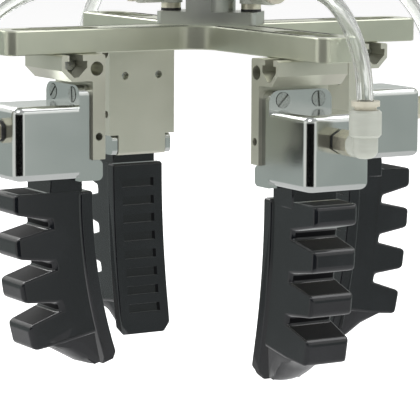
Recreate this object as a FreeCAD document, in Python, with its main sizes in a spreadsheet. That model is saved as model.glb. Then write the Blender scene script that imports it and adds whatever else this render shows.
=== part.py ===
"""Soft finger gripper: four air-driven elastomer fingers under a cross of slotted aluminium arms.

Frame: the origin is the centre of the hub's robot face, +Z points up into the robot, and the four
arms lie along the X and Y axes. Each finger unit is drawn once in its own frame, where x runs
outward along the arm from the bracket's inner face, y runs across the arm and z is 0 at the
arm's underside, and is then turned to its arm.
"""
import FreeCAD, Part
import math
import os
import Sketcher

Vector = FreeCAD.Vector
Rotation = FreeCAD.Rotation

# The driving dimensions, in millimetres and degrees.
SIZES = {
    # Cross plate
    "arm_length": 91.0,
    "arm_width": 18.0,
    "arm_thickness": 9.0,
    "arm_inner_radius": 10.5,
    "arm_corner_radius": 4.0,
    "arm_edge": 0.4,
    # Hub
    "hub_height": 46.0,
    "hub_length": 39.0,
    "hub_width": 21.0,
    "hub_taper": 1.6,
    "hub_ridge_offset": 1.6,
    "hub_ridge_radius": 12.0,
    "hub_corner_radius": 2.5,
    "hub_base_thickness": 4.8,
    "hub_column_diameter": 19.0,
    "hub_spotface_depth": 1.0,
    "hub_post_left": 7.4,
    "hub_post_right": 2.7,
    "hub_post_thickness": 4.0,
    "flange_diameter": 63.0,
    "flange_thickness": 8.0,
    "flange_circle": 50.0,
    "flange_hole": 6.6,
    "dowel_hole": 6.0,
    "spigot_diameter": 31.5,
    "spigot_height": 4.0,
    "supply_socket": 10.0,
    "supply_socket_depth": 10.0,
    "supply_bore": 6.0,
    "channel_bore": 3.0,
    "hub_screw_circle": 14.5,
    "hub_screw_diameter": 4.0,
    "hub_screw_head": 8.0,
    "hub_screw_length": 16.0,
    # Where the air fittings stand on the hub
    "low_port_offset": 11.2,
    "high_port_height": 28.0,
    # Slot along each arm, and the travel of a finger unit in it
    "slot_width": 5.4,
    "slot_counterbore": 9.2,
    "slot_counterbore_depth": 4.2,
    "travel_in": 12.0,
    "travel_out": 14.0,
    # Finger unit
    "unit_radius": 54.2,
    "slide_gap": 0.05,
    "bracket_width": 30.0,
    "bracket_depth": 18.0,
    "bracket_flange": 9.8,
    "bracket_chamfer": 4.1,
    "leg_thickness": 5.2,
    "leg_shoulder": 39.0,
    "leg_length": 47.2,
    "leg_notch": 4.2,
    "leg_bore_height": 30.5,
    "leg_bore": 2.9,
    "leg_end_radius": 1.3,
    "leg_edge_radius": 0.8,
    "corner_bore": 5.3,
    "corner_bore_depth": 5.2,
    "corner_bore_offset": 3.5,
    "tslot_centre": 12.1,
    "tslot_neck": 5.6,
    "tslot_lip": 2.2,
    "tslot_width": 9.2,
    "tslot_side": 2.4,
    "tslot_depth": 8.2,
    "tslot_floor": 1.8,
    "tnut_length": 12.0,
    "tnut_clearance": 0.15,
    "tnut_height": 4.0,
    "slide_screw": 5.0,
    "slide_head": 8.5,
    "slide_head_height": 3.4,
    "slide_screw_length": 11.0,
    "thread_clearance": 0.05,
    # Housing
    "plate_thickness": 4.8,
    "plate_top": 11.4,
    "plate_corner": 4.0,
    "housing_width": 27.0,
    "housing_depth": 31.1,
    "housing_top": 18.5,
    "housing_bottom": 46.0,
    "housing_corner": 3.8,
    "housing_edge": 2.8,
    "foot_bottom": 47.0,
    "foot_gap": 0.3,
    "foot_corner": 2.0,
    "clamp_spacing": 15.4,
    "clamp_height": 15.0,
    "clamp_screw": 3.0,
    "clamp_head": 5.6,
    "clamp_head_height": 2.0,
    "clamp_recess": 6.0,
    "clamp_recess_depth": 1.8,
    "clamp_screw_length": 6.0,
    "clamp_slot": 0.8,
    "clamp_left_turn": 5.0,
    "clamp_right_turn": -45.0,
    "port_height": 28.0,
    "port_depth": 4.5,
    "duct_bore": 4.0,
    # Finger
    "pivot_offset": 13.5,
    "pivot_drop": 48.5,
    "bead_radius": 6.7,
    "bead_width": 19.4,
    "bead_clearance": 0.3,
    "finger_face_offset": 3.3,
    "finger_start": 51.0,
    "finger_curve": 205.0,
    "finger_width": 23.0,
    "bellows_width": 20.0,
    "grip_layer": 5.4,
    "bellows_root": 16.8,
    "ridge_reach": 31.4,
    "ridge_pitch": 14.2,
    "ridge_first": 3.1,
    "ridge_root_half": 4.6,
    "ridge_tip_half": 2.8,
    "ridge_round": 1.3,
    "tip_length": 66.3,
    "tip_setback": 3.0,
    "tip_bulge": 0.3,
    "knob_shoulder": 2.6,
    "knob_slope": 7.0,
    "knob_neck": 12.4,
    "heel_setback": 4.5,
    "heel_drop": 2.0,
    "heel_overlap": 1.0,
    "pad_pitch": 6.95,
    "pad_first": 7.7,
    "pad_height": 3.3,
    "pad_width": 14.4,
    "pad_depth": 1.2,
    "chamber_wall": 2.6,
    "chamber_width": 15.0,
    "chamber_floor": 8.2,
    "chamber_spine": 13.5,
    # Air fittings for a 6 mm hose
    "hose_diameter": 6.0,
    "fit_clearance": 0.1,
    "seal_diameter": 7.8,
    "seal_thickness": 1.0,
    "stud_thread": 5.0,
    "stud_length": 3.6,
    "stud_bore": 2.6,
    "stud_hex": 8.0,
    "stud_hex_height": 4.0,
    "unit_hex_height": 8.4,
    "hub_collar": 7.6,
    "hub_collar_height": 2.1,
    "elbow_body": 9.2,
    "elbow_stub": 8.8,
    "elbow_bottom": 4.4,
    "elbow_round": 3.0,
    "barrel_diameter": 11.5,
    "barrel_chamfer": 0.8,
    "unit_elbow_reach": 15.5,
    "unit_barrel_start": 3.2,
    "unit_barrel_end": 12.7,
    "hub_elbow_reach": 8.8,
    "hub_barrel_start": 4.6,
    "hub_barrel_end": 15.2,
    "straight_body_length": 12.5,
    "socket_depth": 6.0,
    "ring_diameter": 10.1,
    "ring_flange": 1.8,
    "ring_gap": 1.4,
    "sleeve_diameter": 7.9,
    "sleeve_seat": 5.4,
}

# The four arms, counter-clockwise from +X, by the letter of the finger unit on each.
ARMS = "cdab"
QUARTERS = ((1, 0), (0, 1), (-1, 0), (0, -1))


class Size:
    """A number together with the spreadsheet expression that gives it."""

    def __init__(self, value, text):
        self.value = value
        self.text = text

    def __add__(self, other):
        return Size(self.value + number(other), f"({self.text} + {words(other)})")

    def __sub__(self, other):
        return Size(self.value - number(other), f"({self.text} - {words(other)})")

    def __mul__(self, other):
        return Size(self.value * number(other), f"({self.text} * {words(other)})")

    def __truediv__(self, other):
        return Size(self.value / number(other), f"({self.text} / {words(other)})")

    def __rtruediv__(self, other):
        return Size(number(other) / self.value, f"({words(other)} / {self.text})")

    def __neg__(self):
        return Size(-self.value, f"(0 - {self.text})")

    __radd__ = __add__
    __rmul__ = __mul__


def number(size):
    """The plain number of a Size or of a number."""
    return size.value if isinstance(size, Size) else float(size)


def words(size):
    """The expression of a Size or of a number."""
    return size.text if isinstance(size, Size) else repr(float(size))


def sine(angle):
    """The sine of an angle in degrees."""
    return Size(math.sin(math.radians(number(angle))), f"sin({words(angle)})")


def cosine(angle):
    """The cosine of an angle in degrees."""
    return Size(math.cos(math.radians(number(angle))), f"cos({words(angle)})")


class Cells:
    """Gives each spreadsheet cell as a Size, by its alias."""

    def __getattr__(self, alias):
        return Size(SIZES[alias], f"Sizes.{alias}")


S = Cells()
doc = FreeCAD.newDocument("soft_finger_gripper")


def make_sheet():
    """Writes the driving dimensions into the document's spreadsheet."""
    sheet = doc.addObject("Spreadsheet::Sheet", "Sizes")
    for row, (alias, value) in enumerate(SIZES.items(), start=1):
        sheet.set(f"A{row}", alias)
        sheet.set(f"B{row}", str(value))
        sheet.setAlias(f"B{row}", alias)
    doc.recompute()


def bind(thing, prop, size):
    """Ties a property to the spreadsheet, or holds it at a plain number."""
    thing.setExpression(prop, words(size))


# Sketches and the features made from them


def new_body(name):
    body = doc.addObject("PartDesign::Body", name)
    body.Label = name
    return body


def new_sketch(body, role, offset=None):
    """A sketch on one of the body's origin planes, moved along the plane's normal by offset."""
    plane = next(f for f in body.Origin.OriginFeatures if f.Role == role)
    sketch = body.newObject("Sketcher::SketchObject", f"{body.Name}_sketch")
    sketch.AttachmentSupport = (plane, [""])
    sketch.MapMode = "FlatFace"
    if offset is not None:
        bind(sketch, "AttachmentOffset.Base.z", offset)
    return sketch


def fix(sketch, kind, geometry, point, size):
    """Holds a point's distance from the sketch's origin, along X or Y."""
    index = sketch.addConstraint(
        Sketcher.Constraint(kind, -1, 1, geometry, point, number(size))
    )
    if isinstance(size, Size):
        sketch.setExpression(f"Constraints[{index}]", size.text)


def draw_polygon(sketch, points):
    """A closed outline of straight edges with each corner held by the spreadsheet."""
    first = sketch.GeometryCount
    count = len(points)
    ends = [Vector(number(x), number(y), 0) for x, y in points]
    for i in range(count):
        sketch.addGeometry(Part.LineSegment(ends[i], ends[(i + 1) % count]), False)
    for i in range(count):
        after = first + (i + 1) % count
        sketch.addConstraint(Sketcher.Constraint("Coincident", first + i, 2, after, 1))
    for i, (x, y) in enumerate(points):
        fix(sketch, "DistanceX", first + i, 1, x)
        fix(sketch, "DistanceY", first + i, 1, y)


def draw_box(sketch, x0, y0, x1, y1):
    draw_polygon(sketch, [(x0, y0), (x1, y0), (x1, y1), (x0, y1)])


def draw_circle(sketch, x, y, diameter):
    index = sketch.GeometryCount
    circle = Part.Circle(Vector(number(x), number(y), 0), Vector(0, 0, 1), number(diameter) / 2)
    sketch.addGeometry(circle, False)
    fix(sketch, "DistanceX", index, 3, x)
    fix(sketch, "DistanceY", index, 3, y)
    width = sketch.addConstraint(Sketcher.Constraint("Diameter", index, number(diameter)))
    if isinstance(diameter, Size):
        sketch.setExpression(f"Constraints[{width}]", diameter.text)


def draw_slot(sketch, start, end, width):
    """A slot along the sketch's X axis, between the centres of its two round ends."""
    first = sketch.GeometryCount
    half = number(width) / 2
    ends = [Vector(number(start), 0, 0), Vector(number(end), 0, 0)]
    up = Vector(0, half, 0)
    axis = Vector(0, 0, 1)
    half_turn = math.pi / 2
    left = Part.Circle(ends[0], axis, half)
    right = Part.Circle(ends[1], axis, half)
    sketch.addGeometry(Part.LineSegment(ends[0] - up, ends[1] - up), False)
    sketch.addGeometry(Part.ArcOfCircle(right, -half_turn, half_turn), False)
    sketch.addGeometry(Part.LineSegment(ends[1] + up, ends[0] + up), False)
    sketch.addGeometry(Part.ArcOfCircle(left, half_turn, 3 * half_turn), False)
    for i in range(4):
        after = first + (i + 1) % 4
        sketch.addConstraint(Sketcher.Constraint("Tangent", first + i, 2, after, 1))
    for arc, centre in ((first + 1, end), (first + 3, start)):
        fix(sketch, "DistanceX", arc, 3, centre)
        fix(sketch, "DistanceY", arc, 3, 0)
    radius = sketch.addConstraint(Sketcher.Constraint("Radius", first + 1, half))
    sketch.setExpression(f"Constraints[{radius}]", (width / 2).text)


def feature(body, kind, sketch, length, side="One side", reverse=False):
    """A Pad or Pocket; the length None cuts through everything."""
    made = body.newObject(f"PartDesign::{kind}", f"{body.Name}_{kind.lower()}")
    made.Profile = sketch
    made.SideType = side
    made.Reversed = reverse
    if length is None:
        made.Type = "ThroughAll"
    else:
        bind(made, "Length", length)
    return made


def pad(body, sketch, length, side="One side", reverse=False):
    return feature(body, "Pad", sketch, length, side, reverse)


def pocket(body, sketch, length=None, side="One side", reverse=False):
    """A Pocket; it must take material away, or its direction is wrong."""
    doc.recompute()
    before = body.Shape.Volume
    made = feature(body, "Pocket", sketch, length, side, reverse)
    doc.recompute()
    if not body.Shape.Volume < before - 1e-6:
        raise RuntimeError(f"{made.Name} cuts nothing")
    return made


def dress(body, kind, prop, size, wanted):
    """A Fillet or Chamfer on the edges whose centre and direction the test wanted accepts."""
    doc.recompute()
    base = body.Tip
    names = []
    for i, edge in enumerate(base.Shape.Edges, start=1):
        if len(edge.Vertexes) == 2:
            low, high = edge.Vertexes[0].Point, edge.Vertexes[1].Point
            if wanted((low + high) / 2, high - low):
                names.append(f"Edge{i}")
    if not names:
        raise RuntimeError(f"{body.Name} has no such edge")
    made = body.newObject(f"PartDesign::{kind}", f"{body.Name}_{kind.lower()}")
    made.Base = (base, names)
    bind(made, prop, size)
    doc.recompute()
    return made


def fillet(body, radius, wanted):
    return dress(body, "Fillet", "Radius", radius, wanted)


def near(a, b, slack=0.02):
    return abs(number(a) - number(b)) < slack


def along(direction, axis):
    """True where an edge's direction is parallel to the axis 0, 1 or 2."""
    return all(abs(direction[k]) < 1e-4 for k in range(3) if k != axis)


# Solids from primitives


def cylinder(name, diameter, length, start=0.0, axis="Z"):
    """A cylinder on the axis Z or X of its own frame, from start, length long."""
    made = doc.addObject("Part::Cylinder", name)
    bind(made, "Radius", diameter / 2)
    bind(made, "Height", length)
    if axis == "X":
        made.Placement.Rotation = Rotation(Vector(0, 1, 0), 90)
        bind(made, "Placement.Base.x", start)
    else:
        bind(made, "Placement.Base.z", start)
    return made


def fuse(name, parts):
    made = doc.addObject("Part::MultiFuse", name)
    made.Shapes = parts
    return made


def cut(name, base, tools):
    """The base without the tools."""
    tool = tools[0]
    if len(tools) > 1:
        tool = fuse(f"{name}_tools", tools)
    made = doc.addObject("Part::Cut", name)
    made.Base = base
    made.Tool = tool
    return made


def place(made, name, frame):
    """Names a sub-part and puts it in the frame (a placement) that its shape was drawn for."""
    made.Label = name
    made.Placement = frame
    return made


# Frames


def arm_angle(unit):
    """The angle of a unit's arm from +X, in degrees."""
    return 360 / len(ARMS) * ARMS.index(unit)


def unit_frame(angle):
    """The frame of the finger unit on the arm at the angle."""
    turn = Rotation(Vector(0, 0, 1), angle)
    level = -(S.hub_height + S.arm_thickness)
    return FreeCAD.Placement(turn.multVec(Vector(number(S.unit_radius), 0, number(level))), turn)


def seat_on_unit(body, angle):
    """Turns a body drawn in the unit frame to its arm, with the place bound to the sheet."""
    body.Placement = unit_frame(angle)
    turn = math.radians(angle)
    bind(body, "Placement.Base.x", S.unit_radius * round(math.cos(turn)))
    bind(body, "Placement.Base.y", S.unit_radius * round(math.sin(turn)))
    bind(body, "Placement.Base.z", -(S.hub_height + S.arm_thickness))


def frame_at(origin, out, side):
    """A frame whose Z axis points along out and whose X axis points along side."""
    turn = Rotation(side, out.cross(side), out, "ZXY")
    return FreeCAD.Placement(origin, turn)


# Root pieces


def make_cross_plate():
    """A plus-shaped plate with a stepped slot along each arm and countersunk hub screws."""
    body = new_body("cross_plate")
    half, reach = S.arm_width / 2, S.arm_length
    sketch = new_sketch(body, "XY_Plane")
    corners = []
    for x, y in ((1, 1), (-1, 1), (-1, -1), (1, -1)):
        turned = [(reach * x, half * y), (half * x, half * y), (half * x, reach * y)]
        corners += turned if x * y > 0 else turned[::-1]
    draw_polygon(sketch, corners)
    pad(body, sketch, S.arm_thickness, reverse=True)
    fillet(
        body,
        S.arm_inner_radius,
        lambda p, d: along(d, 2) and near(abs(p.x), half) and near(abs(p.y), half),
    )
    fillet(
        body,
        S.arm_corner_radius,
        lambda p, d: along(d, 2) and near(max(abs(p.x), abs(p.y)), reach, 2.0),
    )
    dress(body, "Chamfer", "Size", S.arm_edge, lambda p, d: near(d.z, 0))
    bolt = S.unit_radius + S.tslot_centre
    start, end = bolt - S.travel_in, bolt + S.travel_out
    for width, depth in ((S.slot_width, None), (S.slot_counterbore, S.slot_counterbore_depth)):
        for turn in range(4):
            slot = new_sketch(body, "XY_Plane")
            slot.AttachmentOffset = FreeCAD.Placement(
                Vector(0, 0, 0), Rotation(Vector(0, 0, 1), 90 * turn)
            )
            draw_slot(slot, start, end, width)
            pocket(body, slot, depth)
    circle = S.hub_screw_circle / 2
    holes = new_sketch(body, "XY_Plane")
    for x, y in QUARTERS:
        draw_circle(holes, circle * x, circle * y, S.hub_screw_diameter + 0.4)
    pocket(body, holes)
    sinks = new_sketch(body, "XY_Plane", -S.arm_thickness)
    for x, y in QUARTERS:
        draw_circle(sinks, circle * x, circle * y, S.hub_screw_head + 0.4)
    sink = feature(body, "Pocket", sinks, (S.hub_screw_head - S.hub_screw_diameter) / 2)
    sink.Reversed = True
    sink.TaperAngle = -45
    body.Placement.Base = Vector(0, 0, -number(S.hub_height))
    bind(body, "Placement.Base.z", -S.hub_height)


def hub_point(along_hub, across_hub):
    """A point of the hub's plan, whose long side lies at 45 degrees to the arms."""
    scale = math.sqrt(0.5)
    return (along_hub - across_hub) * scale, -(along_hub + across_hub) * scale


def hub_front(along_hub):
    """How far the hub's front face stands from its middle: it falls off from a soft ridge."""
    ridge = -S.hub_ridge_offset
    half = S.hub_length / 2
    left = number(along_hub) < number(ridge)
    run = ridge - along_hub if left else along_hub - ridge
    span = half + ridge if left else half - ridge
    return S.hub_width / 2 - S.hub_taper * run / span


def make_hub():
    """The machined hub: a bar across the plate, a column with a front rib, and the robot flange."""
    body = new_body("hub")
    foot, half = -S.hub_height, S.hub_length / 2
    top = foot + S.hub_base_thickness
    below = -S.flange_thickness
    ridge = -S.hub_ridge_offset
    plan = [(-half, hub_front(-half)), (ridge, hub_front(ridge)), (half, hub_front(half))]
    plan += [(-x, -y) for x, y in plan]
    base = new_sketch(body, "XY_Plane", foot)
    draw_polygon(base, [hub_point(x, y) for x, y in plan])
    pad(body, base, S.hub_base_thickness)
    inner = S.hub_width / 2 - S.hub_post_thickness
    left, right = -S.hub_post_left, S.hub_post_right
    rib = [(left, hub_front(left)), (ridge, hub_front(ridge)), (right, hub_front(right))]
    rib += [(right, inner), (left, inner)]
    post = new_sketch(body, "XY_Plane", top)
    draw_polygon(post, [hub_point(x, y) for x, y in rib])
    pad(body, post, below - top)
    ends = [hub_point(x, y) for x, y in (plan[0], plan[2], plan[3], plan[5])]
    ridges = [hub_point(x, y) for x, y in (plan[1], plan[4])]
    for radius, spots in ((S.hub_corner_radius, ends), (S.hub_ridge_radius, ridges)):
        fillet(
            body,
            radius,
            lambda p, d: along(d, 2) and any(near(p.x, x) and near(p.y, y) for x, y in spots),
        )
    column = new_sketch(body, "XY_Plane", top)
    draw_circle(column, 0, 0, S.hub_column_diameter)
    pad(body, column, below - top)
    flange = new_sketch(body, "XY_Plane", below)
    draw_circle(flange, 0, 0, S.flange_diameter)
    pad(body, flange, S.flange_thickness)
    spigot = new_sketch(body, "XY_Plane")
    draw_circle(spigot, 0, 0, S.spigot_diameter)
    pad(body, spigot, S.spigot_height)
    cut_robot_face(body)
    cut_air_channels(body, foot)
    screws = new_sketch(body, "XY_Plane", foot)
    for x, y in QUARTERS:
        circle = S.hub_screw_circle / 2
        width = S.hub_screw_diameter + S.thread_clearance * 2
        draw_circle(screws, circle * x, circle * y, width)
    depth = S.hub_screw_length - S.arm_thickness + 0.8
    pocket(body, screws, depth, reverse=True)


def cut_robot_face(body):
    """Four bolt holes, a dowel hole and the supply bore, all from the robot face."""
    holes = new_sketch(body, "XY_Plane")
    radius = S.flange_circle / 2
    for corner in range(4):
        angle = 45 + 90 * corner
        cos, sin = math.cos(math.radians(angle)), math.sin(math.radians(angle))
        draw_circle(holes, radius * cos, radius * sin, S.flange_hole)
    draw_circle(holes, -radius, 0, S.dowel_hole)
    pocket(body, holes, S.flange_thickness)
    depth = S.spigot_height + S.hub_height - S.hub_base_thickness / 3
    for width, length in ((S.supply_socket, S.supply_socket_depth), (S.supply_bore, depth)):
        bore = new_sketch(body, "XY_Plane", S.spigot_height)
        draw_circle(bore, 0, 0, width)
        pocket(body, bore, length)


def cut_air_channels(body, foot):
    """The two threaded ports in the base, the two in the column, and the drillings to them."""
    hole = S.stud_thread + S.thread_clearance * 2
    top = foot + S.hub_base_thickness
    low = new_sketch(body, "XY_Plane", top)
    draw_circle(low, -S.low_port_offset, S.low_port_offset, hole)
    draw_circle(low, S.low_port_offset, -S.low_port_offset, hole)
    pocket(body, low, S.stud_length)
    middle = foot + S.hub_base_thickness / 2
    reach = S.low_port_offset * math.sqrt(2)
    drill = new_sketch(body, "YZ_Plane")
    drill.AttachmentOffset = FreeCAD.Placement(Vector(0, 0, 0), Rotation(Vector(0, 1, 0), -45))
    draw_circle(drill, 0, middle, S.channel_bore)
    pocket(body, drill, reach * 2, side="Symmetric")
    height = foot + S.high_port_height
    seat = S.hub_column_diameter / 2 - S.hub_spotface_depth
    for role, reverse in (("YZ_Plane", True), ("XZ_Plane", False)):
        face = new_sketch(body, role, seat if role == "YZ_Plane" else -seat)
        draw_circle(face, 0, height, S.seal_diameter + 1.6)
        pocket(body, face, S.hub_spotface_depth, reverse=reverse)
        thread = new_sketch(body, role, seat if role == "YZ_Plane" else -seat)
        draw_circle(thread, 0, height, hole)
        pocket(body, thread, seat, reverse=not reverse)


def make_hub_screws():
    """Four countersunk screws that hold the cross plate to the hub from below."""
    screws = []
    head = (S.hub_screw_head - S.hub_screw_diameter) / 2
    level = -(S.hub_height + S.arm_thickness)
    circle = S.hub_screw_circle / 2
    for index, (x, y) in enumerate(QUARTERS):
        cone = doc.addObject("Part::Cone", f"hub_screw_head_{index}")
        bind(cone, "Radius1", S.hub_screw_head / 2)
        bind(cone, "Radius2", S.hub_screw_diameter / 2)
        bind(cone, "Height", head)
        shank = cylinder(f"hub_screw_shank_{index}", S.hub_screw_diameter, S.hub_screw_length)
        socket = doc.addObject("Part::Prism", f"hub_screw_socket_{index}")
        bind(socket, "Circumradius", S.hub_screw_diameter * 0.36)
        bind(socket, "Height", head * 0.8)
        screw = cut(f"hub_screw_{index}", fuse(f"hub_screw_solid_{index}", [cone, shank]), [socket])
        screw.Placement.Base = Vector(0, 0, 0)
        bind(screw, "Placement.Base.x", circle * x)
        bind(screw, "Placement.Base.y", circle * y)
        bind(screw, "Placement.Base.z", level)
        screws.append(screw)
    made = doc.addObject("Part::Compound", "hub_screws")
    made.Links = screws
    made.Label = "hub_screws"


# Air fittings, each drawn with z = 0 on its seat and +Z away from it


def make_seal(name, frame):
    ring = cylinder(f"{name}_disc", S.seal_diameter, S.seal_thickness)
    hole = cylinder(f"{name}_hole", S.stud_thread + 0.2, S.seal_thickness * 3, -S.seal_thickness)
    return place(cut(f"{name}_solid", ring, [hole]), name, frame)


def make_stud(name, frame, hexagon=None):
    """A threaded stud with a hexagon that high, or a round collar, above its seal."""
    thread = cylinder(
        f"{name}_thread", S.stud_thread, S.stud_length + S.seal_thickness, -S.stud_length
    )
    if hexagon:
        head = doc.addObject("Part::Prism", f"{name}_hexagon")
        bind(head, "Circumradius", S.stud_hex / math.sqrt(3))
        height = hexagon
        bind(head, "Height", height)
        bind(head, "Placement.Base.z", S.seal_thickness)
    else:
        height = S.hub_collar_height
        head = cylinder(f"{name}_collar", S.hub_collar, height, S.seal_thickness)
    bore = cylinder(
        f"{name}_bore",
        S.stud_bore,
        S.stud_length + S.seal_thickness + height + 2,
        -S.stud_length - 1,
    )
    solid = fuse(f"{name}_blank", [thread, head])
    return place(cut(f"{name}_solid", solid, [bore]), name, frame)


def make_barrel(name, start, end, axis):
    """The push-in end of a fitting: (its solids, the tools that bore it)."""
    rim = cylinder(f"{name}_rim", S.barrel_diameter, end - start, start, axis)
    chamfer = doc.addObject("Part::Chamfer", f"{name}_barrel")
    chamfer.Base = rim
    doc.recompute()
    size = number(S.barrel_chamfer)
    edges = [i for i, e in enumerate(rim.Shape.Edges, start=1) if e.Closed and e.Length > 1]
    chamfer.Edges = [(i, size, size) for i in edges]
    socket = S.hose_diameter + S.fit_clearance * 2
    sleeve = S.sleeve_diameter + S.fit_clearance * 2
    tools = [
        cylinder(f"{name}_socket", socket, S.socket_depth + 1, end - S.socket_depth, axis),
        cylinder(f"{name}_sleeve_bore", sleeve, S.sleeve_seat + 1, end - S.sleeve_seat, axis),
    ]
    return [chamfer], tools


def make_elbow(name, frame, reach, start, end, seat):
    """A push-in elbow: it stands on its stud, turns square and ends in a barrel along +X."""
    bore, bottom = S.stud_bore + 1, S.elbow_bottom
    stub = cylinder(f"{name}_stub", S.elbow_stub, reach - seat, seat)
    rod = cylinder(f"{name}_rod", S.elbow_body, bottom + start + 0.5, -bottom, "X")
    knee = doc.addObject("Part::Fillet", f"{name}_knee")
    knee.Base = rod
    doc.recompute()
    rims = enumerate(rod.Shape.Edges, start=1)
    round_off = number(S.elbow_round)
    knee.Edges = [
        (i, round_off, round_off)
        for i, e in rims
        if e.Closed and near(e.CenterOfMass.x, -bottom)
    ]
    solids, tools = make_barrel(name, start, end, "X")
    tools.append(cylinder(f"{name}_turn", bore, end - 1, 0.0, "X"))
    for piece in [rod, solids[0].Base] + tools:
        bind(piece, "Placement.Base.z", reach)
    tools.append(cylinder(f"{name}_rise", bore, reach + 1, -1.0))
    solid = fuse(f"{name}_blank", [stub, knee] + solids)
    return place(cut(f"{name}_solid", solid, tools), name, frame)


def make_straight(name, frame, seat):
    """A straight push-in body along its stud's axis."""
    solids, tools = make_barrel(name, seat, seat + S.straight_body_length, "Z")
    tools.append(cylinder(f"{name}_rise", S.stud_bore + 1, seat + 4, -1.0))
    return place(cut(f"{name}_solid", solids[0], tools), name, frame)


def make_release_ring(name, frame):
    """The ring that is pushed to free the hose: drawn with z = 0 at the barrel's end."""
    flange = cylinder(f"{name}_flange", S.ring_diameter, S.ring_flange, S.ring_gap)
    length = S.sleeve_seat + S.ring_gap - 1.4
    sleeve = cylinder(f"{name}_sleeve", S.sleeve_diameter, length, -(length - S.ring_gap))
    bore = cylinder(
        f"{name}_bore", S.hose_diameter + S.fit_clearance * 2, length * 2 + 4, -length - 1
    )
    solid = fuse(f"{name}_blank", [flange, sleeve])
    return place(cut(f"{name}_solid", solid, [bore]), name, frame)


# The parts of one finger unit


def make_bracket(unit, angle):
    """An L-shaped extrusion with a T-slot in its flange and notched lower corners."""
    body = new_body(f"bracket_{unit}")
    centre, top = S.tslot_centre, -S.slide_gap
    depth, flange, chamfer = S.bracket_depth, -S.bracket_flange, S.bracket_chamfer
    neck, wide, floor = S.tslot_neck / 2, S.tslot_width / 2, S.tslot_floor / 2
    lip, side, bottom = -S.tslot_lip, -(S.tslot_lip + S.tslot_side), -S.tslot_depth
    profile = new_sketch(body, "XZ_Plane")
    draw_polygon(
        profile,
        [
            (0, top),
            (centre - neck, top),
            (centre - neck, lip),
            (centre - wide, lip),
            (centre - wide, side),
            (centre - floor, bottom),
            (centre + floor, bottom),
            (centre + wide, side),
            (centre + wide, lip),
            (centre + neck, lip),
            (centre + neck, top),
            (depth, top),
            (depth, flange + chamfer),
            (depth - chamfer, flange),
            (S.leg_thickness, flange),
            (S.leg_thickness, -S.leg_length),
            (0, -S.leg_length),
        ],
    )
    draw_circle(profile, S.corner_bore_offset, -S.corner_bore_depth, S.corner_bore)
    draw_circle(profile, S.leg_thickness / 2, -S.leg_bore_height, S.leg_bore)
    pad(body, profile, S.bracket_width, "Symmetric")
    half = S.bracket_width / 2
    notches = new_sketch(body, "YZ_Plane")
    edge, low = half + 1, -(S.leg_length + 1)
    inner = half - S.leg_notch
    draw_box(notches, inner, low, edge, -S.leg_shoulder)
    draw_box(notches, -edge, low, -inner, -S.leg_shoulder)
    pocket(body, notches, S.leg_thickness, reverse=True)
    screws = new_sketch(body, "YZ_Plane")
    width = S.clamp_screw + S.thread_clearance * 2
    for side_of in (1, -1):
        draw_circle(screws, S.clamp_spacing / 2 * side_of, -S.clamp_height, width)
    pocket(body, screws, S.leg_thickness, reverse=True)
    corners = ((0, top), (depth, top), (S.leg_thickness, flange))
    ends = ((0, -S.leg_length), (S.leg_thickness, -S.leg_length))
    for radius, spots in ((S.leg_edge_radius, corners), (S.leg_end_radius, ends)):
        fillet(
            body,
            radius,
            lambda p, d: along(d, 1) and any(near(p.x, x) and near(p.z, z) for x, z in spots),
        )
    seat_on_unit(body, angle)


def make_housing(unit, angle):
    """The cast finger housing: a rounded box on a back plate whose feet hold the leg."""
    body = new_body(f"housing_{unit}")
    start = S.leg_thickness
    half = S.housing_width / 2
    plate = new_sketch(body, "YZ_Plane", start)
    draw_box(plate, -half, -S.foot_bottom, half, -S.plate_top)
    pad(body, plate, S.plate_thickness)
    fillet(body, S.plate_corner, lambda p, d: along(d, 0) and near(p.z, -S.plate_top))
    feet = new_sketch(body, "YZ_Plane", S.foot_gap)
    inner = S.bracket_width / 2 - S.leg_notch + S.foot_gap
    shoulder = -(S.leg_shoulder + S.foot_gap)
    draw_box(feet, inner, -S.foot_bottom, half, shoulder)
    draw_box(feet, -half, -S.foot_bottom, -inner, shoulder)
    pad(body, feet, start - S.foot_gap)
    fillet(
        body,
        S.foot_corner,
        lambda p, d: along(d, 1) and near(p.x, S.foot_gap),
    )
    box = new_sketch(body, "XZ_Plane")
    outer = start + S.housing_depth
    draw_box(box, start, -S.housing_bottom, outer, -S.housing_top)
    pad(body, box, S.housing_width, "Symmetric")
    fillet(
        body,
        S.housing_corner,
        lambda p, d: along(d, 2) and near(p.x, outer) and near(abs(p.y), half),
    )
    levels = (-S.housing_top, -S.housing_bottom)
    rim = number(start + S.plate_thickness) + 1
    fillet(
        body,
        S.housing_edge,
        lambda p, d: p.x > rim and any(near(p.z, z) for z in levels) and near(d.z, 0),
    )
    pivot = start + S.pivot_offset - S.leg_thickness
    groove = new_sketch(body, "XZ_Plane")
    draw_circle(groove, pivot, -S.pivot_drop, (S.bead_radius + S.bead_clearance) * 2)
    pocket(body, groove, S.bead_width + S.bead_clearance * 2, "Symmetric")
    duct = new_sketch(body, "XY_Plane", -S.pivot_drop)
    draw_circle(duct, pivot, 0, S.duct_bore)
    pocket(body, duct, S.pivot_drop - S.port_height + S.duct_bore / 2, reverse=True)
    port = new_sketch(body, "YZ_Plane", outer)
    draw_circle(port, 0, -S.port_height, S.stud_thread + S.thread_clearance * 2)
    pocket(body, port, S.port_depth)
    link = new_sketch(body, "YZ_Plane", outer)
    draw_circle(link, 0, -S.port_height, S.duct_bore)
    pocket(body, link, outer - pivot)
    face = start + S.plate_thickness
    for width, depth in (
        (S.clamp_screw + S.thread_clearance * 4, S.plate_thickness),
        (S.clamp_recess, S.clamp_recess_depth),
    ):
        screws = new_sketch(body, "YZ_Plane", face)
        for side_of in (1, -1):
            draw_circle(screws, S.clamp_spacing / 2 * side_of, -S.clamp_height, width)
        pocket(body, screws, depth)
    seat_on_unit(body, angle)


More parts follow.
